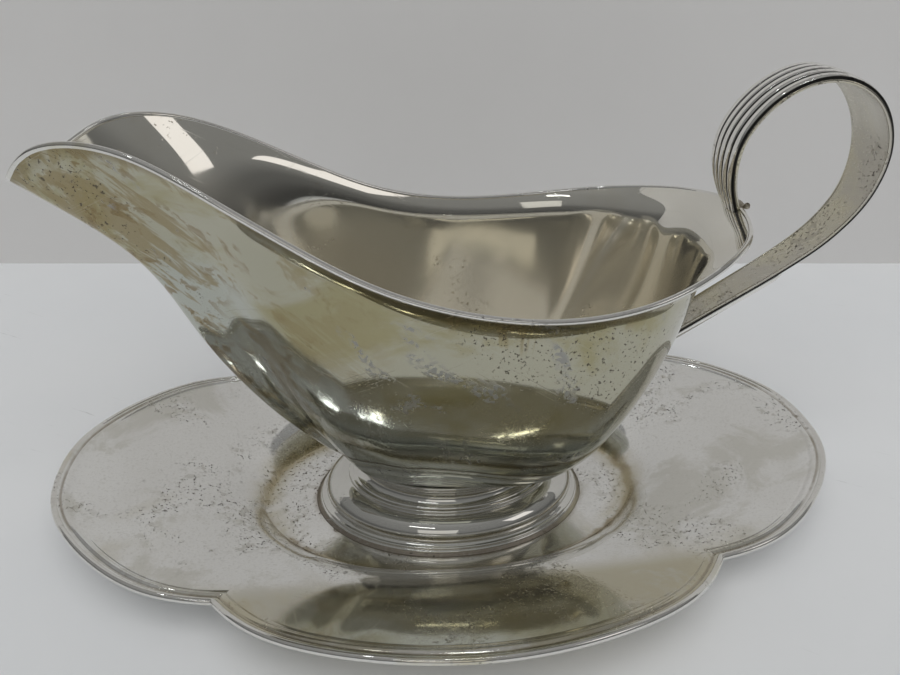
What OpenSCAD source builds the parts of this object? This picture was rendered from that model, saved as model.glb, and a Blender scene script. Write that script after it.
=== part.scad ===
// Footed sauce boat soldered to its own lobed saucer, in silver-plated sheet metal.
// +X points to the handle, -X to the spout, +Z up; the origin is the middle of the saucer's underside.

/* [Saucer] */
// Length over the two end lobes
saucer_length = 226; // [206:1:246]
// Width over the two side lobes
saucer_width = 170; // [156:1:190]
// Height of the rim at the tips of the end lobes
saucer_end_height = 18; // [12:0.5:24]
// Height of the rim at the middle of the side lobes
saucer_side_height = 22; // [14:0.5:26]
// Height of the rim at the cusps between the lobes
saucer_cusp_height = 14.5; // [10:0.5:20]
// Thickness of the saucer sheet
saucer_sheet = 1.2; // [0.8:0.1:1.8]
// Length of the flat well
well_length = 112; // [100:1:124]
// Width of the flat well
well_width = 75; // [68:1:84]
// Height of the ridge that runs in from each cusp
cusp_ridge = 0.8; // [0:0.1:2]
// Radius of the border wire on the saucer's edge
saucer_wire_r = 0.9; // [0.7:0.1:1.4]

/* [Foot] */
// Length of the foot over its base moulding
foot_length = 79.6; // [70:0.2:88]
// Width of the foot over its base moulding
foot_width = 60.8; // [54:0.2:68]

/* [Bowl] */
// Length from the lip of the spout to the back of the rim
bowl_length = 186; // [170:1:200]
// Greatest width over the rim
bowl_width = 88; // [76:1:96]
// Thickness of the bowl sheet
bowl_sheet = 1.2; // [0.8:0.1:1.6]
// Radius of the wire on the bowl's rim
bowl_wire_r = 0.8; // [0.6:0.1:1.2]
// How far the lip is bent down on the far side of the spout
lip_bend = 6; // [0:0.5:8]

/* [Handle] */
// Greatest width of the handle strap
handle_width = 20; // [16:0.5:22]
// Thickness of the plain inner strip
strip_thickness = 0.8; // [0.6:0.1:1.2]
// Height of the reeds on the outer strip
reed_height = 0.8; // [0.5:0.1:1.4]

/* [Hidden] */
$fn = 72;

// ---- Saucer: how far each lobe reaches, as shares of the half length or the half width, at even steps of
// angle. The end lobe runs from its tip to the cusp, and the side lobe from the cusp to its middle.
half_length = saucer_length / 2;
half_width = saucer_width / 2;
cusp_angle = 39.6;
end_lobe = [1, 0.991, 0.952, 0.9, 0.834, 0.739];
side_lobe = [end_lobe[5] * half_length / half_width, 1.006, 1.004, 1, 1];
well_half_length = well_length / 2;
well_half_width = well_width / 2;
cusp_spread = 7;
saucer_quarter = concat([for (k = [0 : 11]) cusp_angle * k / 12],
                        [for (k = [0 : 12]) cusp_angle + (90 - cusp_angle) * k / 13]);
// Angles round the saucer with one exactly on each cusp.
saucer_half = concat(saucer_quarter, [90], [for (i = [len(saucer_quarter) - 1 : -1 : 1]) 180 - saucer_quarter[i]]);
saucer_angles = concat(saucer_half, [for (a = saucer_half) a + 180]);
saucer_profile = [[0, 0], [0.05, 0.16], [0.12, 0.33], [0.22, 0.48], [0.36, 0.6], [0.55, 0.74],
                  [0.77, 0.88], [1, 1]];

// ---- Foot: outer profile radii are for a round foot that is then stretched into an oval.
foot_mean_r = (foot_length + foot_width) / 4;
foot_stretch_x = foot_length / 2 / foot_mean_r;
foot_stretch_y = foot_width / 2 / foot_mean_r;
foot_base_z = saucer_sheet;
moulding_height = 2.7;
bowl_base_z = 17.6;

// ---- Bowl: half of the rim, from the back over the side to the lip, before scaling.
drawn_bowl_length = 186;
drawn_bowl_width = 88;
rim_half = [[79, 0, 89.5], [76.5, 15.5, 87.8], [67, 28, 85.7], [48, 40, 82.2], [25, 44, 79.7],
            [2, 41.6, 80.9], [-20, 37.8, 86.8], [-40, 33.4, 97], [-58, 27.7, 107.3], [-73, 20.4, 113.8],
            [-87, 14.2, 115.9], [-98.5, 9.8, 113.2], [-105, 5.4, 107], [-107, 0, 104.6]];
// Share of the lip's bend at each of those places; only the far side of the spout is bent down.
bend_share = [0, 0, 0, 0, 0, 0, 0, 0, 0, 0, 0.3, 0.95, 0.4, 0];
// Wall profiles, as [share of the way out to the rim, share of the height], at three places.
side_wall = [[0, 0], [0.25, 0], [0.49, 0.003], [0.6, 0.055], [0.71, 0.17], [0.805, 0.32], [0.875, 0.5],
             [0.915, 0.68], [0.935, 0.84], [0.955, 0.94], [1, 1]];
back_wall = [[0, 0], [0.17, 0], [0.33, 0.005], [0.47, 0.06], [0.585, 0.17], [0.68, 0.32], [0.77, 0.5],
             [0.83, 0.7], [0.87, 0.88], [0.915, 0.955], [1, 1]];
spout_wall = [[0, 0], [0.13, 0], [0.285, 0.01], [0.378, 0.08], [0.468, 0.19], [0.557, 0.33], [0.636, 0.49],
              [0.705, 0.66], [0.785, 0.79], [0.885, 0.895], [1, 1]];
// Power that keeps the spout's lower wall wide, so that its underside is round and not a keel.
spout_roundness = 0.55;
bowl_steps_per_station = 3;
wall_steps = 15;

// ---- Handle: inner face of the strap in the XZ plane with its share of the greatest width.
handle_path = [[78, 90.5, 0.44], [75.4, 96.8, 0.62], [74.4, 103.4, 0.73], [75.5, 109.8, 0.76],
               [79, 115.7, 0.78], [84.6, 120.8, 0.81], [92.2, 124, 0.87], [100, 123.6, 0.95], [106.8, 119.6, 1],
               [111.3, 113.3, 0.97], [113.4, 106.3, 0.9], [113.3, 99.1, 0.8], [111.2, 92, 0.7],
               [107.2, 85.7, 0.63], [101.9, 80.1, 0.59], [95.2, 74.9, 0.56], [87.2, 69.5, 0.54],
               [78, 63.7, 0.52], [68, 57.3, 0.49], [59, 51.5, 0.46]];
handle_steps_per_station = 3;
reed_count = 5;
reed_base = 0.2;
crown_height = 0.5;
reed_points = 4;
// The ornament's three tongues, as [first station, share of the width, height over the reeds].
tail_tongues = [[13.3, 0.42, 0.6], [14.3, 0.6, 1], [15.2, 0.8, 1.5]];

// ---- Shared maths
function smooth(a, b, x) = let (t = max(0, min(1, (x - a) / (b - a)))) t * t * (3 - 2 * t);
function unit(v) = v / norm(v);
function blend_cubic(a, b, c, d, f) =
    0.5 * (2 * b + (c - a) * f + (2 * a - 5 * b + 4 * c - d) * f * f + (3 * b - a - 3 * c + d) * f * f * f);
// A smooth curve through a list of points: t counts the points, and the ends run out straight.
function open_curve(p, t) =
    let (last = len(p) - 1, u = max(0, min(last - 0.00001, t)), i = floor(u))
    blend_cubic(i > 0 ? p[i - 1] : 2 * p[0] - p[1], p[i], p[i + 1],
                i + 1 < last ? p[i + 2] : 2 * p[last] - p[last - 1], u - i);
function closed_curve(p, t) =
    let (n = len(p), i = floor(t))
    blend_cubic(p[(i + n - 1) % n], p[i % n], p[(i + 1) % n], p[(i + 2) % n], t - i);

// Faces of a tube whose rings of m points follow each other; closed joins the last ring to the first.
function tube_faces(rings, m, closed) = concat(
    [for (i = [0 : rings - (closed ? 1 : 2)], k = [0 : m - 1], half = [0, 1])
        let (a = i * m + k, b = i * m + (k + 1) % m, c = ((i + 1) % rings) * m + k,
             d = ((i + 1) % rings) * m + (k + 1) % m)
        half == 0 ? [a, b, d] : [a, d, c]],
    closed ? [] : [[for (k = [m - 1 : -1 : 0]) k], [for (k = [0 : m - 1]) (rings - 1) * m + k]]);

// A round wire along a closed path of points; its rings lean out from the middle of the path.
module ring_wire(path, r, sides) {
    n = len(path);
    points = [for (i = [0 : n - 1])
        let (along = unit(path[(i + 1) % n] - path[(i + n - 1) % n]),
             side = unit(cross(along, [0, 0, 1])),
             up = cross(side, along))
        for (k = [0 : sides - 1])
            path[i] + r * (cos(360 * k / sides) * side + sin(360 * k / sides) * up)];
    polyhedron(points, tube_faces(n, sides, true), convexity = 10);
}

// ---- Saucer
function oval_reach(a, b, angle) = 1 / sqrt(pow(cos(angle) / a, 2) + pow(sin(angle) / b, 2));
// The angle folded into the first quarter, since the four quarters are mirror images.
function quarter(angle) = abs(asin(abs(sin(angle))));
function outline_reach(angle) =
    let (q = quarter(angle), e = concat([end_lobe[1]], end_lobe), w = concat(side_lobe, [side_lobe[3]]))
    q < cusp_angle ? half_length * open_curve(e, 1 + 5 * q / cusp_angle)
                   : half_width * open_curve(w, 4 * (q - cusp_angle) / (90 - cusp_angle));
function well_reach(angle) = oval_reach(well_half_length, well_half_width, angle);
function saucer_rim_z(angle) =
    let (q = quarter(angle), t = q < cusp_angle ? q / cusp_angle : (90 - q) / (90 - cusp_angle),
         lobe = q < cusp_angle ? saucer_end_height : saucer_side_height)
    lobe + (saucer_cusp_height - lobe) * t * t;
function saucer_top(angle, s) =
    let (f = open_curve(saucer_profile, s * (len(saucer_profile) - 1)),
         reach = well_reach(angle) + (outline_reach(angle) - well_reach(angle)) * f[0],
         ridge = 4 * cusp_ridge * exp(-abs(quarter(angle) - cusp_angle) / cusp_spread) * f[0] * (1 - f[0]))
    [reach * cos(angle), reach * sin(angle),
     saucer_sheet + (saucer_rim_z(angle) - saucer_sheet) * f[1] + ridge];

module saucer_plate() {
    n = len(saucer_angles);
    m = 11;
    top = [for (angle = saucer_angles, j = [0 : m]) saucer_top(angle, j / m)];
    bottom = [for (q = top) q - [0, 0, saucer_sheet]];
    count = n * (m + 1);
    points = concat(top, bottom, [[0, 0, saucer_sheet], [0, 0, 0]]);
    faces = [for (i = [0 : n - 1])
        let (i2 = (i + 1) % n, a = i * (m + 1), b = i2 * (m + 1))
        each concat(
            [for (j = [0 : m - 1]) [a + j, b + j, b + j + 1]],
            [for (j = [0 : m - 1]) [a + j, b + j + 1, a + j + 1]],
            [for (j = [0 : m - 1]) [count + a + j, count + b + j + 1, count + b + j]],
            [for (j = [0 : m - 1]) [count + a + j, count + a + j + 1, count + b + j + 1]],
            [[a + m, b + m, count + b + m], [a + m, count + b + m, count + a + m]],
            [[2 * count, b, a], [2 * count + 1, count + a, count + b]])];
    color("lightgray") polyhedron(points, faces, convexity = 10);
}

module saucer_border_wire() {
    path = [for (angle = saucer_angles) saucer_top(angle, 1) - [0, 0, saucer_sheet / 2]];
    color("silver") ring_wire(path, saucer_wire_r, 8);
}

// ---- Foot
module oval_turning(profile) {
    scale([foot_stretch_x, foot_stretch_y, 1]) rotate_extrude($fn = 240) polygon(profile);
}

module foot_solder_seam() {
    r = foot_mean_r;
    color("darkgray") oval_turning([[r - 0.3, foot_base_z], [r + 1, foot_base_z],
        [r + 0.5, foot_base_z + 0.2], [r + 0.25, foot_base_z + 0.6], [r, foot_base_z + 0.8]]);
}

module foot_base_moulding() {
    r = foot_mean_r;
    z = foot_base_z;
    lower = [for (a = [-90 : 30 : 90]) [r - 0.6 + 0.6 * cos(a), z + 0.65 + 0.65 * sin(a)]];
    upper = [for (a = [-90 : 45 : 90]) [r - 0.9 + 0.45 * cos(a), z + 1.75 + 0.45 * sin(a)]];
    color("silver") oval_turning(concat([[r - 9, z]], lower, upper,
        [[r - 1.4, z + moulding_height - 0.3], [r - 1.8, z + moulding_height], [r - 9, z + moulding_height]]));
}

module foot_shell() {
    r = foot_mean_r;
    z = foot_base_z + moulding_height;
    wall = 1.1;
    torus = [for (a = [-20 : 10 : 80]) [r - 8.8 + 6.9 * cos(a), z + 0.9 + 4.9 * sin(a)]];
    fillet = [[r - 8.1, z + 6.6], [r - 8.3, z + 7], [r - 9.3, z + 7.1]];
    cove = [for (a = [-68 : 13.6 : 68]) [r - 8.5 - 3.5 * cos(a), z + 9.9 + 2.7 * sin(a)]];
    outer = concat([[r - 2.2, z]], torus, fillet, cove, [[r - 10.4, z + 12.5]]);
    inner = [for (i = [len(outer) - 1 : -1 : 0]) outer[i] - [wall, 0]];
    color("silver") oval_turning(concat(outer, inner));
}

module neck_bead() {
    r = foot_mean_r - 10.7;
    bead = [for (a = [-90 : 30 : 90]) [r + 0.75 * cos(a), bowl_base_z - 0.6 + 0.6 * sin(a)]];
    color("silver") oval_turning(concat([[r - 7, bowl_base_z - 1.2]], bead, [[r - 7, bowl_base_z]]));
}

// ---- Bowl
rim_scale = [bowl_length / drawn_bowl_length, bowl_width / drawn_bowl_width, 1];
far_side = [for (i = [0 : len(rim_half) - 1]) rim_half[i] - [0, 0, lip_bend * bend_share[i]]];
near_side = [for (i = [len(rim_half) - 2 : -1 : 1]) [rim_half[i][0], -rim_half[i][1], rim_half[i][2]]];
rim_stations = [for (q = concat(far_side, near_side)) [q[0] * rim_scale[0], q[1] * rim_scale[1], q[2]]];
rim = [for (i = [0 : len(rim_stations) * bowl_steps_per_station - 1])
    closed_curve(rim_stations, i / bowl_steps_per_station)];

function wall_share(x, v) =
    let (t = v * (len(side_wall) - 1), spout = smooth(20, 95, -x), back = smooth(40, 79, x))
    spout * open_curve(spout_wall, t) + back * open_curve(back_wall, t)
    + (1 - spout - back) * open_curve(side_wall, t);
function bowl_outer(i, v) =
    let (q = rim[(i + len(rim)) % len(rim)], share = wall_share(q[0], v),
         power = 1 - (1 - spout_roundness) * smooth(30, 80, -q[0]))
    [q[0] * share[0], q[1] * pow(share[0], power), bowl_base_z + (q[2] - bowl_base_z) * share[1]];
function bowl_normal(i, v) = let (e = 0.02)
    unit(cross(bowl_outer(i, min(1, v + e)) - bowl_outer(i, v - e), bowl_outer(i + 1, v) - bowl_outer(i - 1, v)));

module bowl_shell() {
    n = len(rim);
    m = wall_steps;
    share = [for (j = [0 : m - 1]) 0.1 + 0.9 * j / (m - 1)];
    outer = [for (i = [0 : n - 1], v = share) bowl_outer(i, v)];
    inner = [for (i = [0 : n - 1], v = share) bowl_outer(i, v) + bowl_sheet * bowl_normal(i, v)];
    count = n * m;
    points = concat(outer, inner, [[0, 0, bowl_base_z], [0, 0, bowl_base_z + bowl_sheet]]);
    faces = [for (i = [0 : n - 1])
        let (a = i * m, b = ((i + 1) % n) * m)
        each concat(
            [for (j = [0 : m - 2]) [a + j, b + j + 1, b + j]],
            [for (j = [0 : m - 2]) [a + j, a + j + 1, b + j + 1]],
            [for (j = [0 : m - 2]) [count + a + j, count + b + j, count + b + j + 1]],
            [for (j = [0 : m - 2]) [count + a + j, count + b + j + 1, count + a + j + 1]],
            [[a + m - 1, count + b + m - 1, b + m - 1], [a + m - 1, count + a + m - 1, count + b + m - 1]],
            [[2 * count, a, b], [2 * count + 1, count + b, count + a]])];
    color("gainsboro") polyhedron(points, faces, convexity = 10);
}

module bowl_rim_wire() {
    color("silver") ring_wire([for (i = [0 : len(rim) - 1]) rim[i] + bowl_sheet / 2 * bowl_normal(i, 1)],
        bowl_wire_r, 8);
}

// ---- Handle
handle_stations = len(handle_path) - 1;
function handle_at(t) = open_curve(handle_path, t);
function handle_half_width(t) = handle_at(t)[2] * handle_width / 2;
// Outward direction of the loop in the XZ plane.
function handle_out(t) =
    let (e = 0.05, d = handle_at(min(handle_stations, t + e)) - handle_at(max(0, t - e)))
    unit([-d[1], d[0]]);
// A point of the strap: across from -1 to 1 over its width, and lift out of its inner face.
function strap_point(t, across, lift) =
    let (q = handle_at(t), out = handle_out(t))
    [q[0] + out[0] * lift, across * handle_half_width(t), q[1] + out[1] * lift];
function reed_lift(across) =
    strip_thickness + reed_base + crown_height * (1 - across * across)
    + reed_height * sqrt(max(0, 1 - pow(2 * abs((across + 1) / 2 * reed_count - floor((across + 1) / 2 * reed_count)
        - 0.5), 2)));

// Sweeps a cross-section, a list of [across, lift], along the handle between two stations.
module strap_sweep(section, first, last) {
    steps = round((last - first) * handle_steps_per_station);
    m = len(section);
    points = [for (i = [0 : steps], q = section)
        strap_point(first + (last - first) * i / steps, q[0], q[1])];
    polyhedron(points, tube_faces(steps + 1, m, false), convexity = 10);
}

module handle_inner_strip() {
    section = [[-1, 0], [-1, strip_thickness], [1, strip_thickness], [1, 0]];
    color("darkkhaki") strap_sweep(section, 0, handle_stations);
}

module handle_reeded_strip() {
    top = [for (i = [0 : reed_count * reed_points])
        let (across = -1 + 2 * i / (reed_count * reed_points)) [across, reed_lift(across)]];
    color("silver") strap_sweep(concat([[1, strip_thickness], [-1, strip_thickness]], top), 0, handle_stations);
}

module handle_tail_ornament() {
    base = strip_thickness + reed_base + crown_height;
    color("silver") for (tongue = tail_tongues) {
        w = tongue[1];
        lift = base + reed_height + tongue[2];
        strap_sweep([[w, base], [-w, base], [-w, lift - 0.5], [-0.6 * w, lift], [0.6 * w, lift], [w, lift - 0.5]],
            tongue[0], handle_stations);
    }
}

module handle_top_solder() {
    root = strap_point(0, 0, 0);
    color("gray") translate([root[0], 0, root[2]]) scale([1, 1.5, 0.5]) sphere(r = 2.6, $fn = 32);
    color("gray") translate([root[0] + 2, -3.4, root[2] + 0.4]) sphere(r = 0.9, $fn = 24);
}

module handle_tail_solder() {
    tail = strap_point(handle_stations, 0, strip_thickness);
    color("gray") translate(tail) rotate([0, -20, 0]) scale([0.45, 1.25, 0.9]) sphere(r = 5, $fn = 32);
}

saucer_plate();
saucer_border_wire();
foot_solder_seam();
foot_base_moulding();
foot_shell();
neck_bead();
bowl_shell();
bowl_rim_wire();
handle_inner_strip();
handle_reeded_strip();
handle_tail_ornament();
handle_top_solder();
handle_tail_solder();
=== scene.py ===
"""Tarnished silver sauce boat on its own lobed saucer.

Sizes are written in millimetres, as in the CAD, and become metres where a mesh is made.
+X points to the handle, -X to the spout, +Z up; the origin is the middle of the saucer's underside.
"""
import math

import bpy
import numpy as np
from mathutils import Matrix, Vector


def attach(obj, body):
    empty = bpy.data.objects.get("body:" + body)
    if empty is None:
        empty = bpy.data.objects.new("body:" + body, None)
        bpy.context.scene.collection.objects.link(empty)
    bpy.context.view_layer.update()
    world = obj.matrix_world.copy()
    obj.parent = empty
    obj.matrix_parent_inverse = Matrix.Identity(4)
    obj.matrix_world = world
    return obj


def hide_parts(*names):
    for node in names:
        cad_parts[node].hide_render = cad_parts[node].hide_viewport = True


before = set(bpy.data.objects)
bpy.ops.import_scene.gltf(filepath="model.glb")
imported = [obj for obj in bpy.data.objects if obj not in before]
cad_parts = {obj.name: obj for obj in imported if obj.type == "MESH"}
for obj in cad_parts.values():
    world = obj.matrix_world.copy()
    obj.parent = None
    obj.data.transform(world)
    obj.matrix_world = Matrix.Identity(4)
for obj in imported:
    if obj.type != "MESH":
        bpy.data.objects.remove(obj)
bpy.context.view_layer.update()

MM = 0.001
TURN = 2 * math.pi


# ---------------------------------------------------------------- shared maths

def smooth(a, b, x):
    t = np.clip((np.asarray(x, float) - a) / (b - a), 0, 1)
    return t * t * (3 - 2 * t)


def spline(points, t, closed=False):
    """A curve through the points with continuous curvature; t counts the points."""
    p = np.asarray(points, float)
    if p.ndim == 1:
        p = p[:, None]
    n = len(p)
    system = np.zeros((n, n))
    right = np.zeros_like(p)
    for i in range(n):
        if closed or 0 < i < n - 1:
            system[i, i] = 4
            system[i, (i - 1) % n] += 1
            system[i, (i + 1) % n] += 1
            right[i] = 3 * (p[(i + 1) % n] - p[(i - 1) % n])
        elif i == 0:
            system[0, :2] = 2, 1
            right[0] = 3 * (p[1] - p[0])
        else:
            system[i, i - 1:] = 1, 2
            right[i] = 3 * (p[i] - p[i - 1])
    slope = np.linalg.solve(system, right)
    t = np.asarray(t, float)
    if closed:
        i = np.floor(t).astype(int)
    else:
        i = np.clip(np.floor(t).astype(int), 0, n - 2)
    f = (t - i)[..., None]
    a, b = p[i % n], p[(i + 1) % n]
    ma, mb = slope[i % n], slope[(i + 1) % n]
    value = (a * (1 + 2 * f) * (1 - f) ** 2 + ma * f * (1 - f) ** 2
             + b * f * f * (3 - 2 * f) + mb * f * f * (f - 1))
    return value[..., 0] if value.shape[-1] == 1 else value


def soften(values, width):
    """Gaussian smoothing of evenly spaced samples, with the ends held."""
    reach = int(4 * width) + 1
    weights = np.exp(-0.5 * (np.arange(-reach, reach + 1) / width) ** 2)
    weights /= weights.sum()
    before, after = 2 * values[0] - values[reach:0:-1], 2 * values[-1] - values[-2:-reach - 2:-1]
    padded = np.concatenate([before, values, after])
    return np.convolve(padded, weights, "valid")


def normals(grid, wrap_rings, wrap_points):
    """Unit normals of a grid of points, from central differences."""
    def along(axis, wrap):
        if wrap:
            return np.roll(grid, -1, axis) - np.roll(grid, 1, axis)
        return np.gradient(grid, axis=axis)
    cross = np.cross(along(1, wrap_points), along(0, wrap_rings))
    size = np.linalg.norm(cross, axis=-1, keepdims=True)
    return cross / np.maximum(size, 1e-9)


# ---------------------------------------------------------------- meshes

def signed_volume(points, faces):
    """Six times the volume inside the faces, negative when they point inwards."""
    corners = np.array([f if len(f) == 4 else f + f[-1:] for f in faces])
    a, b, c, d = (points[corners[:, k]] for k in range(4))
    return np.sum(a * np.cross(b, c)) + np.sum(a * np.cross(c, d))


def skin(name, rings, closed=False, fields=None):
    """A smooth mesh over rings of points in millimetres. closed joins the last ring to the first; otherwise
    each end is closed by a point in its middle. fields are named numbers stored on the points."""
    rings = np.asarray(rings, float)
    count, size = rings.shape[:2]
    index = np.arange(count * size).reshape(count, size)
    first = index if closed else index[:-1]
    second = np.roll(index, -1, 0) if closed else index[1:]
    quads = np.stack([first, np.roll(first, -1, 1), np.roll(second, -1, 1), second], -1).reshape(-1, 4)
    points = rings.reshape(-1, 3)
    faces = quads.tolist()
    if not closed:
        points = np.vstack([points, rings[0].mean(0), rings[-1].mean(0)])
        start, end = count * size, count * size + 1
        faces += [[start, int(b), int(a)] for a, b in zip(index[0], np.roll(index[0], -1))]
        faces += [[end, int(a), int(b)] for a, b in zip(index[-1], np.roll(index[-1], -1))]
    if signed_volume(points, faces) < 0:
        faces = [f[::-1] for f in faces]
    mesh = bpy.data.meshes.new(name)
    mesh.from_pydata((points * MM).tolist(), [], faces)
    mesh.polygons.foreach_set("use_smooth", [True] * len(mesh.polygons))
    for label, values in (fields or {}).items():
        values = np.broadcast_to(values, (count, size)).reshape(-1).astype(float)
        if not closed:
            values = np.concatenate([values, [values[:size].mean(), values[-size:].mean()]])
        mesh.attributes.new(label, "FLOAT", "POINT").data.foreach_set("value", values.tolist())
    mesh.update()
    piece = bpy.data.objects.new(name, mesh)
    bpy.context.scene.collection.objects.link(piece)
    return piece


def there_and_back(values):
    """A field of a sheet's outer face, carried back over its inner face in the opposite order."""
    return np.concatenate([values, values[::-1]])


def wire(path, radius, sides=20):
    """Rings of a round wire along a closed path."""
    along = np.roll(path, -1, 0) - np.roll(path, 1, 0)
    along /= np.linalg.norm(along, axis=1, keepdims=True)
    side = np.cross(along, [0, 0, 1])
    side /= np.linalg.norm(side, axis=1, keepdims=True)
    up = np.cross(side, along)
    turn = np.arange(sides) * TURN / sides
    return path[:, None] + radius * (np.cos(turn)[None, :, None] * side[:, None]
                                     + np.sin(turn)[None, :, None] * up[:, None])


def place(piece, material, slot, *nodes):
    """Give a piece its material and its body, and hide the CAD nodes it stands in for."""
    piece.data.materials.append(material)
    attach(piece, "root")
    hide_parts(*nodes)


# ---------------------------------------------------------------- saucer

HALF_LENGTH = 113.0
HALF_WIDTH = 85.0
SHEET = 1.2
WELL = (56.0, 37.5)
END_HEIGHT = 18.0
SIDE_HEIGHT = 22.0
CUSP_HEIGHT = 14.5
CUSP_ANGLE = 39.6
CUSP_SPREAD = 7.0
CUSP_RIDGE = 0.8
BORDER_WIRE = 0.9
BORDER_GROOVE = 1.75
# The low bead and the groove on each side of it, just inside the border wire: distance in, height and width.
BORDER_LINES = [[3.0, 0.24, 0.55], [BORDER_GROOVE, -0.22, 0.4], [4.1, -0.15, 0.4]]
END_LOBE = [1, 0.991, 0.952, 0.9, 0.834, 0.739]
SIDE_LOBE = [END_LOBE[5] * HALF_LENGTH / HALF_WIDTH, 1.006, 1.004, 1, 1]
SAUCER_PROFILE = [[0, 0], [0.05, 0.16], [0.12, 0.33], [0.22, 0.48], [0.36, 0.6], [0.55, 0.74], [0.77, 0.88],
                  [1, 1]]


def quarter(angle):
    """The angle in degrees folded into the first quarter, since the four quarters are mirror images."""
    return np.degrees(np.arcsin(np.clip(np.abs(np.sin(angle)), 0, 1)))


def outline_reach(angle):
    q = quarter(angle)
    ends, sides = len(END_LOBE) - 1, len(SIDE_LOBE) - 1
    end = spline(END_LOBE[:0:-1] + END_LOBE, ends + ends * np.clip(q / CUSP_ANGLE, 0, 1))
    side = spline(SIDE_LOBE + SIDE_LOBE[-2::-1], sides * np.clip((q - CUSP_ANGLE) / (90 - CUSP_ANGLE), 0, 1))
    return np.where(q < CUSP_ANGLE, HALF_LENGTH * end, HALF_WIDTH * side)


def well_reach(angle):
    return 1 / np.hypot(np.cos(angle) / WELL[0], np.sin(angle) / WELL[1])


def rim_height(angle):
    q = quarter(angle)
    in_end = q < CUSP_ANGLE
    t = np.where(in_end, q / CUSP_ANGLE, (90 - q) / (90 - CUSP_ANGLE))
    lobe = np.where(in_end, END_HEIGHT, SIDE_HEIGHT)
    return lobe + (CUSP_HEIGHT - lobe) * t * t


def saucer_angles(steps):
    """Angles round the saucer with one exactly on each cusp."""
    edge = math.radians(CUSP_ANGLE)
    quarter_turn = np.concatenate([np.linspace(0, edge, steps, endpoint=False),
                                   np.linspace(edge, TURN / 4, steps, endpoint=False)])
    mirrored = TURN / 2 - np.concatenate([quarter_turn[1:], [TURN / 4]])[::-1]
    half = np.concatenate([quarter_turn, mirrored])
    return np.concatenate([half, half + TURN / 2])


def saucer_height_shares(out):
    """Height share over the flange at each share of the way out, with the step at the well rounded off."""
    samples = np.linspace(-0.3, 1, 1301)
    stations = np.linspace(0, len(SAUCER_PROFILE) - 1, 1400)
    curve = spline(SAUCER_PROFILE, stations)
    heights = np.where(samples < 0, 0, np.interp(samples, curve[:, 0], curve[:, 1]))
    return np.interp(out, samples, soften(heights, 11))


def saucer_top(angle, out):
    """The saucer's upper face; out is 0 at the well's edge and 1 at the border."""
    angle, out = np.broadcast_arrays(angle, out)
    well = well_reach(angle)
    rim = outline_reach(angle)
    reach = np.where(out < 0, well * (1 + out), well + (rim - well) * out)
    away = np.hypot(quarter(angle) - CUSP_ANGLE, 0.8)
    inside = np.clip(out, 0, 1)
    ridge = 4 * CUSP_RIDGE * np.exp(-away / CUSP_SPREAD) * inside * (1 - inside)
    z = SHEET + (rim_height(angle) - SHEET) * saucer_height_shares(out) + ridge
    inward = rim - reach
    for at, height, width in BORDER_LINES:
        z = z + height * np.exp(-((inward - at) / width) ** 2)
    return np.stack([reach * np.cos(angle), reach * np.sin(angle), z], -1), inward, reach - well


def build_saucer():
    angle = saucer_angles(120)
    out = np.concatenate([np.linspace(-0.97, -0.1, 16), np.linspace(-0.08, 0.2, 42),
                          np.linspace(0.22, 0.88, 40), np.linspace(0.89, 1, 60)])
    top, inward, beyond = saucer_top(angle[None, :], out[:, None])
    under = top - [0, 0, SHEET]
    rings = np.concatenate([under, top[::-1]])
    plate = skin("saucer_plate_fine", rings,
                 fields={"inward": there_and_back(inward), "beyond_well": there_and_back(beyond)})
    edge, _, _ = saucer_top(angle, np.ones_like(angle))
    border = skin("saucer_border_wire_fine", wire(edge - [0, 0, SHEET / 2], BORDER_WIRE), closed=True)
    return plate, border


# ---------------------------------------------------------------- foot

FOOT = (39.8, 30.4)
FOOT_R = sum(FOOT) / 2
FOOT_WALL = 1.1


def oval_turning(name, profile, steps=360):
    """A closed profile of [radius, height] turned into a ring and stretched to the foot's oval."""
    angle = np.arange(steps) * TURN / steps
    profile = np.asarray(profile, float)
    rings = np.stack([profile[:, :1] * np.cos(angle) * FOOT[0] / FOOT_R,
                      profile[:, :1] * np.sin(angle) * FOOT[1] / FOOT_R,
                      profile[:, 1:] + 0 * angle], -1)
    return skin(name, rings, closed=True)


def arc(centre, reach, first, last, steps):
    angle = np.radians(np.linspace(first, last, steps))
    return [[centre[0] + reach[0] * math.cos(a), centre[1] + reach[1] * math.sin(a)] for a in angle]


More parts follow.
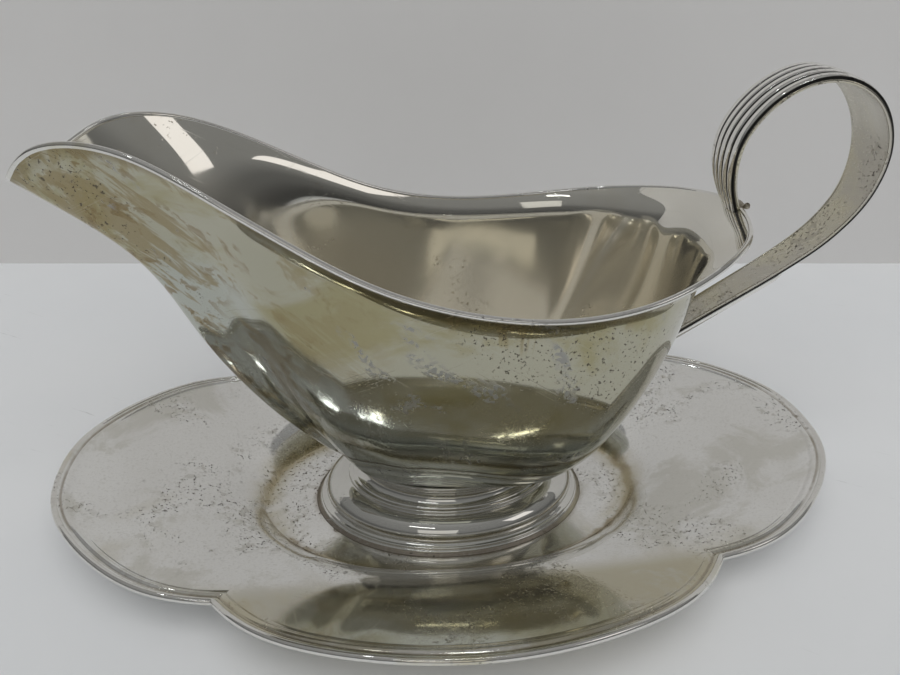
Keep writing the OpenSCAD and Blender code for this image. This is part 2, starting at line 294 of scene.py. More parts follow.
def build_foot():
    r = FOOT_R
    seam = oval_turning("foot_solder_seam_fine", [
        [r - 0.5, 1.2], [r + 0.95, 1.2], [r + 0.6, 1.32], [r + 0.3, 1.6], [r + 0.05, 2.0], [r - 0.5, 2.0]])
    base = [[r - 8.5, 1.2]] + arc((r - 0.6, 1.85), (0.6, 0.62), -90, 78, 14) \
        + arc((r - 0.9, 2.95), (0.45, 0.42), -70, 80, 10) + [[r - 1.1, 3.45], [r - 1.5, 3.6], [r - 1.7, 3.88],
                                                             [r - 8.5, 3.88]]
    base = oval_turning("foot_base_moulding_fine", base)
    z = 3.9
    torus = arc((r - 8.8, z + 0.9), (6.9, 4.9), -14, 82, 30)
    fillet = [[r - 8.05, z + 5.85], [r - 8.1, z + 6.5], [r - 8.2, z + 6.85], [r - 8.55, z + 7.0],
              [r - 9.1, z + 7.02], [r - 9.3, z + 7.15], [r - 9.4, z + 7.4]]
    cove = arc((r - 8.5, z + 9.9), (-3.5, 2.7), -66, 66, 26)
    top = [[r - 10.2, z + 12.4], [r - 10.4, z + 12.6]]
    outer = [[r - 2.25, z], [r - 2.1, z + 0.02]] + torus + fillet + cove + top
    inner = [[radius - FOOT_WALL, height] for radius, height in outer[::-1]]
    shell = oval_turning("foot_shell_fine", outer + inner)
    neck = oval_turning("neck_bead_fine", [[r - 15, 16.4]] + arc((r - 10.7, 17.0), (0.75, 0.6), -90, 90, 16)
                        + [[r - 15, 17.6]])
    return seam, base, shell, neck


# ---------------------------------------------------------------- bowl

BOWL_Z = 17.6
RIM_WIRE = 0.8
RIM_HALF = [[79, 0, 89.5], [76.5, 15.5, 87.8], [67, 28, 85.7], [48, 40, 82.2], [25, 44, 79.7],
            [2, 41.6, 80.9], [-20, 37.8, 86.8], [-40, 33.4, 97], [-58, 27.7, 107.3], [-73, 20.4, 113.8],
            [-87, 14.2, 115.9], [-98.5, 9.8, 113.2], [-105, 5.4, 107], [-107, 0, 104.6]]
LIP_BEND = 6.0
BEND_SHARE = [0, 0, 0, 0, 0, 0, 0, 0, 0, 0, 0.3, 0.95, 0.4, 0]
SIDE_WALL = [[0, 0], [0.25, 0], [0.49, 0.003], [0.6, 0.055], [0.71, 0.17], [0.805, 0.32], [0.875, 0.5],
             [0.915, 0.68], [0.935, 0.84], [0.955, 0.94], [1, 1]]
BACK_WALL = [[0, 0], [0.17, 0], [0.33, 0.005], [0.47, 0.06], [0.585, 0.17], [0.68, 0.32], [0.77, 0.5],
             [0.83, 0.7], [0.87, 0.88], [0.915, 0.955], [1, 1]]
SPOUT_WALL = [[0, 0], [0.13, 0], [0.285, 0.01], [0.378, 0.08], [0.468, 0.19], [0.557, 0.33], [0.636, 0.49],
              [0.705, 0.66], [0.785, 0.79], [0.885, 0.895], [1, 1]]
SPOUT_ROUNDNESS = 0.55


def rim_curve(steps):
    half = np.asarray(RIM_HALF, float)
    far = half - np.outer(BEND_SHARE, [0, 0, LIP_BEND])
    stations = np.vstack([far, half[-2:0:-1] * [1, -1, 1]])
    return spline(stations, np.arange(steps * len(stations)) / steps, closed=True)


def bowl_outer(rim, v):
    """The outer face of the bowl: v is 0 under the middle and 1 on the rim."""
    t = np.asarray(v, float) * (len(SIDE_WALL) - 1)
    side, back, spout = (spline(wall, t) for wall in (SIDE_WALL, BACK_WALL, SPOUT_WALL))
    x = rim[None, :, 0]
    to_spout = smooth(20, 95, -x)[..., None]
    to_back = smooth(40, 79, x)[..., None]
    share = to_spout * spout[:, None] + to_back * back[:, None] + (1 - to_spout - to_back) * side[:, None]
    power = 1 - (1 - SPOUT_ROUNDNESS) * smooth(30, 80, -x)
    return np.stack([x * share[..., 0], rim[None, :, 1] * np.clip(share[..., 0], 0, None) ** power,
                     BOWL_Z + (rim[None, :, 2] - BOWL_Z) * share[..., 1]], -1)


def build_bowl():
    rim = rim_curve(18)
    v = np.concatenate([np.linspace(0.06, 0.8, 90, endpoint=False), np.linspace(0.8, 1, 50)])
    outer = bowl_outer(rim, v)
    inward = -normals(outer, False, True)
    inner = outer + SHEET * inward
    steps = np.linalg.norm(np.diff(outer, axis=0), axis=-1)
    below = np.concatenate([np.cumsum(steps[::-1], 0)[::-1], np.zeros((1, steps.shape[1]))])
    rings = np.concatenate([outer, inner[::-1]])
    inside = np.concatenate([np.zeros_like(below), np.ones_like(below)])
    shell = skin("bowl_shell_fine", rings, fields={"below_rim": there_and_back(below), "inside": inside})
    path = (outer[-1] + inner[-1]) / 2
    rim_wire = skin("bowl_rim_wire_fine", wire(path, RIM_WIRE), closed=True)
    return shell, rim_wire


# ---------------------------------------------------------------- handle

# The strap's middle line as [x, z, share of the full width].
HANDLE_PATH = [[78, 90.5, 0.44], [75.4, 96.8, 0.62], [74.4, 103.4, 0.73], [75.5, 109.8, 0.76],
               [79, 115.7, 0.78], [84.6, 120.8, 0.81], [92.2, 124, 0.87], [100, 123.6, 0.95],
               [106.8, 119.6, 1], [111.3, 113.3, 0.97], [113.4, 106.3, 0.9], [113.3, 99.1, 0.8],
               [111.2, 92, 0.7],
               [107.2, 85.7, 0.63], [101.9, 80.1, 0.59], [95.2, 74.9, 0.56], [87.2, 69.5, 0.54],
               [78, 63.7, 0.52], [68, 57.3, 0.49], [59, 51.5, 0.46]]
HANDLE_END = len(HANDLE_PATH) - 1
HANDLE_WIDTH = 20.0
STEPS_PER_STATION = 16
STRIP = 0.8
REED_BASE = 0.2
REED_HEIGHT = 0.8
REEDS = 5
CROWN = 0.5
# Where each tongue starts along the path, its share of the width, and how far it stands above the reeds.
TAIL_TONGUES = [[13.3, 0.42, 0.6], [14.3, 0.6, 1], [15.2, 0.8, 1.5]]
TONGUE_ROUND_END = 0.55


def strap(section, first, last):
    """Rings of a strap along the handle; section lists [across from -1 to 1, lift from the inner face]."""
    t = np.linspace(first, last, int((last - first) * STEPS_PER_STATION) + 1)
    q = spline(HANDLE_PATH, t)
    ahead = spline(HANDLE_PATH, np.minimum(t + 0.02, HANDLE_END))
    behind = spline(HANDLE_PATH, np.maximum(t - 0.02, 0))
    d = (ahead - behind)[:, :2]
    d /= np.linalg.norm(d, axis=1, keepdims=True)
    section = np.asarray(section, float)
    half = q[:, 2] * HANDLE_WIDTH / 2
    return np.stack([q[:, :1] - d[:, 1:] * section[None, :, 1],
                     half[:, None] * section[None, :, 0],
                     q[:, 1:2] + d[:, :1] * section[None, :, 1]], -1)


def reeded_section():
    across = np.linspace(-1, 1, REEDS * 16 + 1)
    place_in_reed = np.abs((across + 1) / 2 * REEDS % 1 - 0.5) * 2
    place_in_reed[0] = place_in_reed[-1] = 1
    rounded = np.sqrt(np.clip(1 - place_in_reed ** 2, 0, 1))
    lift = STRIP + REED_BASE + CROWN * (1 - across ** 2) + REED_HEIGHT * rounded
    # groove is 1 in the grooves between the reeds and 0.6 on the strap's two side edges; the reed material
    # paints these places nearly black as painted shade.
    groove = place_in_reed ** 6
    top = np.stack([across, lift], -1)
    sides = [[1, STRIP + 0.1], [0.99, STRIP + 0.01], [-0.99, STRIP + 0.01], [-1, STRIP + 0.1]]
    return np.vstack([top, sides]), np.concatenate([groove, np.full(4, 0.6)])


def build_handle():
    lip = [[-0.86, 0.16], [-0.9, 0.1], [-0.93, 0.0], [-0.97, -0.06], [-1, 0.05]]
    section = lip + [[-1, STRIP], [1, STRIP]] + [[-x, z] for x, z in lip[::-1]] + [[0.4, 0.18], [-0.4, 0.18]]
    inner = skin("handle_inner_strip_fine", strap(section, 0, HANDLE_END))
    section, groove = reeded_section()
    reeded = skin("handle_reeded_strip_fine", strap(section, 0, HANDLE_END),
                  fields={"groove": groove[None, :]})
    return inner, reeded


def build_tail_ornament():
    """Three tongues, each higher and wider than the last, with round ends, on the underside of the tail."""
    base = STRIP + REED_BASE + CROWN
    pieces = []
    for number, (first, width, height) in enumerate(TAIL_TONGUES):
        lift = base + REED_HEIGHT + height
        edge = [[1, base], [1, lift - 0.6], [0.93, lift - 0.25], [0.8, lift - 0.08], [0.5, lift]]
        section = np.array(edge + [[-x, z] for x, z in edge[::-1]])
        rings = strap(section, first, HANDLE_END)
        t = np.linspace(0, 1, len(rings))
        into_end = np.clip(t * (HANDLE_END - first) / TONGUE_ROUND_END, 0, 1)
        round_end = np.sqrt(np.clip(1 - (1 - into_end) ** 2, 0.02, 1))
        rings[:, :, 1] *= (width * round_end)[:, None]
        pieces.append(skin("tail_tongue_%d" % number, rings))
    return join("handle_tail_ornament_fine", pieces)


def join(name, pieces):
    """One object from several closed shells."""
    bpy.ops.object.select_all(action="DESELECT")
    for piece in pieces:
        piece.select_set(True)
    bpy.context.view_layer.objects.active = pieces[0]
    bpy.ops.object.join()
    pieces[0].name = pieces[0].data.name = name
    return pieces[0]


def blob(name, centre, radii, tilt, lumps):
    """A slightly lumpy ellipsoid, tilted about the Y axis."""
    up = np.linspace(-1, 1, 34)[1:-1]
    lat = up * TURN / 4
    turn = np.arange(48) * TURN / 48
    unit = np.stack([np.cos(lat)[:, None] * np.cos(turn), np.cos(lat)[:, None] * np.sin(turn),
                     np.sin(lat)[:, None] + 0 * turn], -1)
    wave = sum(lumps / (k + 1) * np.sin(unit @ np.array(axis) * (3 + 2 * k) + k)
               for k, axis in enumerate([(1, 0.4, 0.2), (-0.3, 1, 0.5), (0.2, -0.6, 1)]))
    shape = unit * (1 + wave[..., None]) * radii
    c, s = math.cos(tilt), math.sin(tilt)
    x, y, z = shape[..., 0], shape[..., 1], shape[..., 2]
    turned = np.stack([c * x + s * z, y, c * z - s * x], -1)
    return skin(name, turned + centre)


def build_solder():
    top = join("handle_top_solder_fine", [
        blob("root_fillet", (78.2, 0, 90.4), (2.4, 3.9, 1.2), 0.0, 0.08),
        blob("root_drop", (80.2, -3.4, 91.0), (0.9, 0.8, 0.9), 0.2, 0.04)])
    tail = strap([[0, STRIP]], HANDLE_END - 0.1, HANDLE_END)[-1, 0]
    pad = blob("handle_tail_solder_fine", tail, (2.2, 6.2, 4.4), -0.35, 0.05)
    return top, pad


saucer_plate, saucer_border = build_saucer()
foot_seam, foot_base, foot_shell, neck_bead = build_foot()
bowl_shell, bowl_rim_wire = build_bowl()
handle_inner, handle_reeded = build_handle()
tail_ornament = build_tail_ornament()
top_solder, tail_solder = build_solder()


# ---------------------------------------------------------------- materials

class Graph:
    """A material's node tree, with short calls for the nodes it is made of."""

    def __init__(self, name):
        self.material = bpy.data.materials.new(name)
        self.material.use_nodes = True
        self.tree = self.material.node_tree
        self.tree.nodes.clear()

    def add(self, kind, inputs=(), **settings):
        node = self.tree.nodes.new(kind)
        for key, value in settings.items():
            setattr(node, key, value)
        for key, value in dict(inputs).items():
            if isinstance(value, bpy.types.NodeSocket):
                self.tree.links.new(value, node.inputs[key])
            else:
                node.inputs[key].default_value = value
        return node

    def field(self, name):
        return self.add("ShaderNodeAttribute", attribute_name=name).outputs["Fac"]

    def place(self, scale=(1, 1, 1), turn=(0, 0, 0), shift=(0, 0, 0)):
        """Object coordinates in metres, turned first and then scaled."""
        where = self.add("ShaderNodeTexCoord").outputs["Object"]
        if any(turn):
            where = self.add("ShaderNodeMapping", {"Vector": where, "Rotation": turn}).outputs[0]
        return self.add("ShaderNodeMapping", {"Vector": where, "Scale": scale, "Location": shift}).outputs[0]

    def noise(self, scale, where=None, detail=4.0, rough=0.55, distortion=0.0):
        inputs = {"Scale": scale, "Detail": detail, "Roughness": rough, "Distortion": distortion,
                  "Vector": where or self.place()}
        return self.add("ShaderNodeTexNoise", inputs).outputs["Fac"]

    def cells(self, where, output="Distance"):
        return self.add("ShaderNodeTexVoronoi", {"Scale": 1.0, "Vector": where}).outputs[output]

    def axis(self, number):
        """One object coordinate in metres: 0 is along the boat, 1 across it."""
        where = self.add("ShaderNodeTexCoord").outputs["Object"]
        return self.add("ShaderNodeSeparateXYZ", {0: where}).outputs[number]

    def math(self, operation, a, b=0.0, clamp=False):
        return self.add("ShaderNodeMath", {0: a, 1: b}, operation=operation, use_clamp=clamp).outputs[0]

    def step(self, value, low, high, to_low=0.0, to_high=1.0):
        inputs = {"Value": value, "From Min": low, "From Max": high, "To Min": to_low, "To Max": to_high}
        return self.add("ShaderNodeMapRange", inputs, interpolation_type="SMOOTHSTEP").outputs[0]

    def mix(self, factor, a, b):
        node = self.add("ShaderNodeMix", data_type="RGBA")
        for socket, value in ((node.inputs[0], factor), (node.inputs[6], a), (node.inputs[7], b)):
            if isinstance(value, bpy.types.NodeSocket):
                self.tree.links.new(value, socket)
            else:
                socket.default_value = value if not isinstance(value, tuple) else (*value, 1)
        return node.outputs[2]

    def finish(self, colour, roughness, height, distance, metallic=1.0):
        bump = self.add("ShaderNodeBump", {"Height": height, "Strength": 1.0, "Distance": distance})
        shader = self.add("ShaderNodeBsdfPrincipled", {"Base Color": colour, "Roughness": roughness,
                                                       "Metallic": metallic, "Normal": bump.outputs[0]})
        out = self.add("ShaderNodeOutputMaterial")
        self.tree.links.new(shader.outputs[0], out.inputs[0])
        return self.material


CLEAN = (0.84, 0.825, 0.79)
FILM = (0.70, 0.655, 0.49)
BROWN = (0.40, 0.31, 0.17)
DARK = (0.10, 0.09, 0.075)
LAYER_HEIGHT = 0.00003


class Silver(Graph):
    """Silver plate built up in layers: each layer changes the colour, the roughness and the height where its
    mask is 1, so that stains are seen and felt in the same place."""

    def __init__(self, name, colour, roughness):
        super().__init__(name)
        self.colour, self.roughness, self.height = colour, roughness, 0.0

    def layer(self, mask, colour=None, share=1.0, roughness=0.0, height=0.0):
        if colour:
            self.colour = self.mix(self.math("MULTIPLY", mask, share), self.colour, colour)
        if roughness:
            added = self.math("MULTIPLY", mask, roughness)
            self.roughness = self.math("ADD", self.roughness, added, clamp=True)
        if height:
            self.height = self.math("ADD", self.height, self.math("MULTIPLY", mask, height))

    def both(self, *masks):
        product = masks[0]
        for mask in masks[1:]:
            product = self.math("MULTIPLY", product, mask)
        return product

    def patches(self, size, low, high, detail=5, rough=0.6, turn=(0, 0, 0), stretch=(1, 1, 1), shift=0.0,
                wander=0.6):
        """A mask of cloudy patches about size metres across; a larger stretch makes them shorter that way."""
        scale = tuple(s / size for s in stretch)
        where = self.place(scale, turn, (shift, shift * 0.6, shift * 0.3))
        return self.step(self.noise(1.0, where, detail, rough, wander), low, high)

    def specks(self, low=0.62, size=0.0009, shift=0.0):
        return self.patches(size, low, low + 0.05, 2, 0.6, shift=shift, wander=0.0)

    def rings(self, spacing, radius, width, share, shift=0.0):
        """Dried drops: a dark line round a round spot, on a share of evenly scattered places."""
        where = self.place((1 / spacing,) * 3, (0.2, 0.1, 0.7), (shift, shift, shift))
        wobble = self.math("MULTIPLY", self.noise(3.0, where, 2, 0.5), 0.14)
        away = self.math("ADD", self.cells(where), wobble)
        chance = self.cells(where, "Color")
        kept = self.step(chance, share + 0.01, share - 0.01)
        reach = self.math("ADD", radius / spacing, self.math("MULTIPLY", chance, 0.5 * radius / spacing))
        off_line = self.math("ABSOLUTE", self.math("SUBTRACT", away, reach))
        line = self.step(off_line, 0, width / spacing, 1, 0)
        return self.both(line, kept), self.both(self.step(away, 0.0, radius / spacing, 1, 0), kept)

    def hairlines(self, length, turn, low, stretch, shift):
        """Fine scratches along the turned X axis; the axis with no stretch is looked along."""
        scale = tuple(s / length for s in stretch)
        line = self.step(self.noise(1.0, self.place(scale, turn, (shift,) * 3), 1, 0.4), low, low + 0.03)
        return self.both(line, self.patches(length * 1.5, 0.45, 0.6, 2, 0.5, shift=shift + 3, wander=0.0))

    def done(self, wave, seed, metallic=0.94):
        """The material, on sheet with hand-made unevenness wave metres high."""
        dents = self.noise(30.0, self.place(shift=(seed, seed, seed)), 1, 0.4)
        layers = self.math("MULTIPLY", self.height, LAYER_HEIGHT)
        height = self.math("ADD", layers, self.math("MULTIPLY", dents, wave))
        return self.finish(self.colour, self.roughness, height, 1.0, metallic)


def wear(s, seed, pits=0.5, film=0.5, film_colour=FILM):
    """What every piece has: a patchy film, small pits in clusters and a few stains."""
    s.layer(s.patches(0.035, 0.62 - 0.3 * film, 0.82 - 0.3 * film, shift=seed), film_colour, 0.75, 0.02)
    cluster = s.patches(0.028, 0.60 - 0.14 * pits, 0.70 - 0.14 * pits, 3, 0.5, shift=seed + 5)
    s.layer(s.both(cluster, s.specks(0.60, shift=seed)), DARK, 0.8, 0.3, -1.0)
    s.layer(s.both(cluster, s.specks(0.58, 0.0035, seed + 2)), (0.45, 0.42, 0.36), 0.45, 0.12, -0.4)
    s.layer(s.patches(0.006, 0.70, 0.76, 4, 0.6, shift=seed + 7), BROWN, 0.35, 0.1)


def saucer_look():
    s = Silver("saucer_silver", (0.92, 0.915, 0.89), 0.06)
    s.layer(s.patches(0.05, 0.35, 0.7, shift=1.5), (0.86, 0.85, 0.82), 0.8, 0.02)
    wear(s, 3.1, 0.8, 0.25, (0.72, 0.69, 0.60))
    s.layer(s.patches(0.0007, 0.52, 0.72, 2, 0.5, shift=8, wander=0.0), (0.66, 0.64, 0.60), 0.5, 0.025)
    rings, spots = s.rings(0.024, 0.0020, 0.0007, 0.25, 2.0)
    s.layer(rings, (0.36, 0.32, 0.26), 0.6, 0.15)
    beyond, inward = s.field("beyond_well"), s.field("inward")
    on_well = s.step(beyond, -1.5, -4)
    drops, middles = s.rings(0.0095, 0.0014, 0.0007, 0.45, 4.0)
    s.layer(s.both(on_well, drops), (0.13, 0.10, 0.07), 0.85, 0.2)
    s.layer(s.both(on_well, middles), (0.50, 0.44, 0.30), 0.6, 0.1)
    s.layer(spots, (0.60, 0.57, 0.50), 0.35, 0.1)
    for k, (length, turn, low) in enumerate([(0.03, 0.5, 0.68), (0.02, -0.9, 0.68), (0.05, 1.4, 0.7)]):
        scratches = s.hairlines(length, (0, 0, turn), low, (1, 90, 0), k * 2.3)
        s.layer(scratches, (0.92, 0.91, 0.89), 0.16, 0.04, -0.06)
    # Painted reflection: the saucer's front lobe, on the -Y side, is darkened to a patchy brown that stands
    # in for the bowl mirrored in it.
    painted_front_reflection = s.both(s.step(s.axis(1), -0.046, -0.056), s.patches(0.05, 0.25, 0.45, shift=12))
    s.layer(painted_front_reflection, (0.56, 0.51, 0.36), 0.85, 0.0)
    s.layer(s.patches(0.035, 0.50, 0.60, 6, 0.7, shift=15), (0.66, 0.64, 0.57), 0.6, 0.03)
    # A ragged brown line of painted shade runs round the well's edge, standing in for the shade of the sharp
    # step there, with a paler stain on both sides of it.
    ragged = s.math("MULTIPLY", s.noise(160.0, None, 4, 0.6), 5.0)
    off = s.math("ABSOLUTE", s.math("SUBTRACT", beyond, s.math("SUBTRACT", ragged, 2.2)))
    well_step_shade = s.both(s.step(off, 0.3, 2.6, 1, 0), s.patches(0.02, 0.34, 0.5, shift=4))
    s.layer(well_step_shade, (0.28, 0.21, 0.11), 0.85, 0.1)
    pale_stain = s.both(s.step(s.math("ABSOLUTE", beyond), 0, 7, 1, 0), s.patches(0.03, 0.4, 0.6, shift=6))
    s.layer(pale_stain, (0.52, 0.46, 0.30), 0.7, 0.03)
    groove = s.step(s.math("ABSOLUTE", s.math("SUBTRACT", inward, BORDER_GROOVE)), 0.1, 0.6, 1, 0)
    s.layer(s.both(groove, s.patches(0.02, 0.3, 0.6, shift=9)), (0.34, 0.29, 0.22), 0.7, 0.15)
    where = s.add("ShaderNodeTexCoord").outputs["Object"]
    flat = s.add("ShaderNodeVectorMath", {0: where, 1: (1 / (FOOT[0] * MM), 1 / (FOOT[1] * MM), 0)},
                 operation="MULTIPLY").outputs[0]
    from_foot = s.add("ShaderNodeVectorMath", {0: flat}, operation="LENGTH").outputs["Value"]
    hug = s.step(from_foot, 1.0, 1.075, 1, 0)
    s.layer(s.both(hug, s.patches(0.012, 0.3, 0.6, shift=2)), (0.26, 0.20, 0.12), 0.8, 0.2)
    return s.done(0.00003, 3.0, 0.93)


def bowl_look():
    s = Silver("bowl_silver", (0.80, 0.78, 0.71), 0.05)
    inside, below = s.field("inside"), s.field("below_rim")
    outside = s.math("SUBTRACT", 1.0, inside)
    s.layer(outside, (0.50, 0.485, 0.385), 1.0, 0.01)
    s.layer(inside, (0.84, 0.82, 0.75), 1.0, -0.01)
    film = s.patches(0.045, 0.44, 0.56, 6, 0.65, shift=1.3)
    # Painted reflection: the lower outside, the bilge, gets a cooler grey and less film, standing in for the
    # saucer and room mirrored there.
    bilge = s.step(below, 30, 44)
    s.layer(s.both(outside, bilge), (0.53, 0.55, 0.50), 0.9)
    film = s.math("MULTIPLY", film, s.step(bilge, 0, 1, 1, 0.45))
    s.layer(s.both(outside, film), (0.40, 0.365, 0.205), 0.85, 0.02)
    to_spout = s.step(s.axis(0), -0.01, -0.06)
    slant = (0, math.radians(-38), 0)
    streaks = s.patches(0.016, 0.53, 0.58, 6, 0.7, slant, (0.4, 1, 1.3), 5.0)
    s.layer(s.both(outside, to_spout, streaks), (0.33, 0.26, 0.13), 0.7, 0.1)
    dots = s.patches(0.0055, 0.55, 0.58, 5, 0.65, slant, (0.7, 1, 1.2), 2.0)
    clusters_of_dots = s.both(outside, to_spout, s.patches(0.03, 0.4, 0.55, shift=4.0), dots)
    s.layer(clusters_of_dots, (0.27, 0.20, 0.10), 0.75, 0.12, 0.3)
    bloom = s.both(outside, s.patches(0.022, 0.60, 0.66, 4, 0.6, slant, (0.7, 1, 1.4), 8.4),
                   s.patches(0.0011, 0.42, 0.55, 2, 0.5, shift=3.0, wander=0.0))
    s.layer(bloom, (0.40, 0.40, 0.39), 0.8, 0.3, 0.3)
    rings, spots = s.rings(0.017, 0.0026, 0.0008, 0.28, 5.0)
    s.layer(s.both(outside, rings), (0.28, 0.22, 0.12), 0.6, 0.12)
    s.layer(s.both(outside, spots), (0.38, 0.34, 0.22), 0.4, 0.06)
    s.layer(s.both(inside, rings), (0.66, 0.60, 0.47), 0.3, 0.05)
    drip = s.patches(0.006, 0.52, 0.60, 3, 0.6, shift=6.0, stretch=(1, 1, 0.12))
    reach = s.math("MULTIPLY", s.noise(70.0, s.place((1, 1, 0.1)), 2, 0.5), 24.0)
    near_rim = s.step(s.math("SUBTRACT", s.math("SUBTRACT", reach, 5.0), below), 0.0, 4.0)
    s.layer(s.both(outside, drip, near_rim), (0.34, 0.28, 0.14), 0.65, 0.1)
    edge = s.step(below, 1.0, 5.0, 1, 0)
    s.layer(s.both(outside, edge, s.patches(0.014, 0.3, 0.5, shift=3.3)), (0.27, 0.22, 0.12), 0.75, 0.08)
    depth = s.both(inside, s.step(below, 14, 28))
    s.layer(depth, (0.88, 0.84, 0.74), 0.8, 0.10)
    cluster = s.patches(0.03, 0.50, 0.62, 3, 0.5, slant, (0.7, 1, 1.3), 12.2)
    s.layer(s.both(outside, cluster, s.specks(0.62, 0.0009, 4.0)), DARK, 0.8, 0.3, -1.0)
    inner_pits = s.both(s.patches(0.03, 0.56, 0.7, 3, 0.5, shift=9), s.specks(0.63, 0.0012, 6.0))
    s.layer(s.both(inside, inner_pits), BROWN, 0.6, 0.2, -0.5)
    s.layer(s.both(inside, s.patches(0.04, 0.5, 0.75, shift=2.0)), (0.76, 0.72, 0.62), 0.6, 0.03)
    for k, (length, turn, low) in enumerate([(0.03, -0.6, 0.67), (0.02, 0.5, 0.68)]):
        scratches = s.hairlines(length, (0, turn, 0), low, (1, 0, 50), k * 3.1)
        s.layer(scratches, (0.60, 0.59, 0.52), 0.2, 0.05, -0.08)
    return s.done(0.00004, 1.0, 0.96)


def plain_look(name, colour, roughness, seed, pits, film, groove=False, wave=0.00003):
    s = Silver(name, colour, roughness)
    wear(s, seed, pits, film)
    s.layer(s.patches(0.0009, 0.5, 0.75, 2, 0.5, shift=seed + 1, wander=0.0), (0.6, 0.58, 0.52), 0.25, 0.05)
    s.layer(s.hairlines(0.02, (0.4, 0.3, 0.8), 0.67, (1, 45, 45), seed), (0.88, 0.87, 0.84), 0.3, 0.06, -0.1)
    if groove:
        # Painted shade: the grooves between the reeds and the strap's side edges are coloured nearly black.
        groove_shade = s.step(s.field("groove"), 0.06, 0.35)
        s.layer(groove_shade, (0.012, 0.011, 0.01), 0.98, 0.4)
    return s.done(wave, seed)


saucer_silver = saucer_look()
bowl_silver = bowl_look()
wire_silver = plain_look("wire_silver", CLEAN, 0.07, 5.0, 0.4, 0.3)
foot_silver = plain_look("foot_silver", (0.74, 0.73, 0.69), 0.035, 7.7, 0.2, 0.05)
strip_silver = plain_look("strip_silver", (0.60, 0.57, 0.50), 0.22, 2.2, 0.9, 0.75)
reed_silver = plain_look("reed_silver", (0.93, 0.915, 0.88), 0.05, 4.4, 0.2, 0.3, True)
solder_grey = plain_look("solder_grey", (0.34, 0.30, 0.25), 0.38, 6.1, 0.9, 0.3, wave=0.0003)

place(saucer_plate, saucer_silver, "saucer", "saucer_plate")
place(saucer_border, wire_silver, "border_wire", "saucer_border_wire")
place(foot_seam, solder_grey, "solder_seam", "foot_solder_seam")
place(foot_base, foot_silver, "foot", "foot_base_moulding")
place(foot_shell, foot_silver, "foot", "foot_shell")
place(neck_bead, foot_silver, "foot", "neck_bead")
place(bowl_shell, bowl_silver, "bowl", "bowl_shell")
place(bowl_rim_wire, wire_silver, "rim_wire", "bowl_rim_wire")
place(handle_inner, strip_silver, "handle_inner", "handle_inner_strip")
place(handle_reeded, reed_silver, "handle_reeded", "handle_reeded_strip")
place(tail_ornament, reed_silver, "handle_reeded", "handle_tail_ornament")
place(top_solder, solder_grey, "solder_seam", "handle_top_solder")
place(tail_solder, solder_grey, "solder_seam", "handle_tail_solder")


# ---------------------------------------------------------------- room, lights and camera

HEADING = math.radians(-6.926)
PITCH = math.radians(28.324)
CAMERA = (-0.02561, -0.21261, 0.16963)
WALL_AHEAD = 0.392
WALL_HALF = 1.6
WALL_HEIGHT = 0.33
FLOOR_HALF = 3
# How light the room is at each height, from level (0) to straight overhead (1).
ROOM_SHADES = ((0.0, 0.03), (0.22, 0.08), (0.5, 0.18), (0.8, 0.20), (1.0, 0.27))


def sheet(name, corners, material):
    mesh = bpy.data.meshes.new(name)
    mesh.from_pydata(corners, [], [(0, 1, 2, 3)])
    piece = bpy.data.objects.new(name, mesh)
    bpy.context.scene.collection.objects.link(piece)
    piece.data.materials.append(material)


def room():
    g = Graph("table_top")
    cloud = g.noise(9, None, 4, 0.5)
    marks = g.step(g.noise(1.0, g.place((40, 700, 0), (0, 0, 0.6)), 3, 0.6), 0.66, 0.74)
    where = g.step(g.noise(12, None, 3, 0.6), 0.5, 0.6)
    colour = g.mix(g.step(cloud, 0.3, 0.75), (0.77, 0.79, 0.81), (0.81, 0.825, 0.84))
    colour = g.mix(g.math("MULTIPLY", g.math("MULTIPLY", marks, where), 0.5), colour, (0.45, 0.46, 0.47))
    table = g.finish(colour, 0.5, cloud, 0.0001, 0.0)
    g = Graph("wall_paint")
    cloud = g.noise(14, None, 5, 0.6)
    wall = g.finish(g.mix(cloud, (0.66, 0.655, 0.65), (0.70, 0.695, 0.69)), 0.7, cloud, 0.0002, 0.0)
    # The wall stands close behind the boat, so its back is see-through and doesn't hide the boat from there.
    surface = g.tree.nodes["Principled BSDF"]
    behind = g.add("ShaderNodeNewGeometry").outputs["Backfacing"]
    clear = g.add("ShaderNodeBsdfTransparent")
    either = g.add("ShaderNodeMixShader", {0: behind, 1: surface.outputs[0], 2: clear.outputs[0]})
    g.tree.links.new(either.outputs[0], g.tree.nodes["Material Output"].inputs[0])
    reach = FLOOR_HALF
    sheet("floor", [(-reach, -reach, 0), (reach, -reach, 0), (reach, reach, 0), (-reach, reach, 0)], table)
    ahead = (-math.sin(HEADING), math.cos(HEADING))
    foot = (CAMERA[0] + ahead[0] * WALL_AHEAD, CAMERA[1] + ahead[1] * WALL_AHEAD)
    across = (ahead[1], -ahead[0])
    a = (foot[0] - WALL_HALF * across[0], foot[1] - WALL_HALF * across[1])
    b = (foot[0] + WALL_HALF * across[0], foot[1] + WALL_HALF * across[1])
    sheet("backdrop", [(*a, 0), (*b, 0), (*b, WALL_HEIGHT), (*a, WALL_HEIGHT)], wall)


def lamp(name, at, towards, size, power, colour, glossy=True):
    """A rectangular light; with glossy off it lights the metal but isn't mirrored in it."""
    light = bpy.data.lights.new(name, "AREA")
    light.shape = "RECTANGLE"
    light.size, light.size_y = size
    light.energy = power
    light.color = colour
    piece = bpy.data.objects.new(name, light)
    bpy.context.scene.collection.objects.link(piece)
    piece.location = at
    piece.rotation_euler = (Vector(towards) - Vector(at)).to_track_quat("-Z", "Y").to_euler()
    piece.visible_glossy = glossy


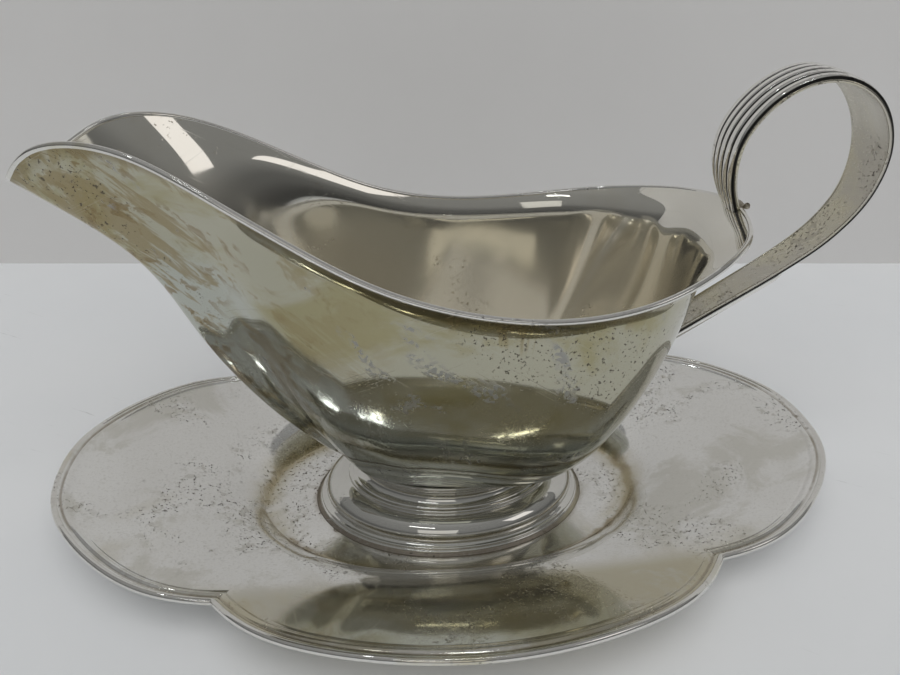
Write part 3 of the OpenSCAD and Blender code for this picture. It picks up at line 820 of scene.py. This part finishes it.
def lights():
    world = bpy.data.worlds.new("room")
    bpy.context.scene.world = world
    world.use_nodes = True
    tree = world.node_tree
    direction = tree.nodes.new("ShaderNodeTexCoord").outputs["Generated"]
    level = tree.nodes.new("ShaderNodeSeparateXYZ")
    tree.links.new(direction, level.inputs[0])
    ramp = tree.nodes.new("ShaderNodeValToRGB")
    ramp.color_ramp.interpolation = "EASE"
    # A new ramp already has a black stop at 0 and a white one at 1, so those two are reused.
    stops = ramp.color_ramp.elements
    for height, shade in ROOM_SHADES:
        if height in (0, 1):
            stop = stops[0] if height == 0 else stops[-1]
        else:
            stop = stops.new(height)
        stop.color = (shade, shade * 1.01, shade, 1)
    tree.links.new(level.outputs[2], ramp.inputs[0])
    tree.links.new(ramp.outputs[0], tree.nodes["Background"].inputs[0])
    lamp("ceiling_strip_left", (-0.56, 0.20, 1.7), (0, 0, 0), (0.22, 0.015), 0.20, (0.93, 0.97, 1))
    lamp("ceiling_strip_right", (0.06, 0.14, 1.7), (0, 0, 0), (0.30, 0.015), 0.28, (0.93, 0.97, 1))
    lamp("ceiling_strip_front", (-0.5, -1.0, 1.7), (0, 0, 0), (0.5, 0.04), 0.45, (0.97, 0.99, 1))
    lamp("window", (1.05, -0.66, 1.02), (-0.07, 0, 0.1), (0.52, 0.46), 0.6, (1, 0.96, 0.95))
    lamp("pale_wall_behind", (-0.24, -1.34, 0.85), (0, 0, 0.08), (0.7, 0.6), 0.6, (1, 0.98, 0.93))
    lamp("soft_fill", (-0.1, -1.3, 1.9), (0, 0, 0.1), (2.4, 2.0), 33, (1, 0.99, 0.98), glossy=False)


def camera():
    data = bpy.data.cameras.new("camera")
    data.lens = 34.4
    data.sensor_width = 36
    data.clip_start = 0.01
    piece = bpy.data.objects.new("camera", data)
    bpy.context.scene.collection.objects.link(piece)
    piece.location = CAMERA
    piece.rotation_euler = (math.pi / 2 - PITCH, 0, HEADING)
    bpy.context.scene.camera = piece


room()
lights()
camera()
bpy.context.scene.view_settings.view_transform = "Standard"
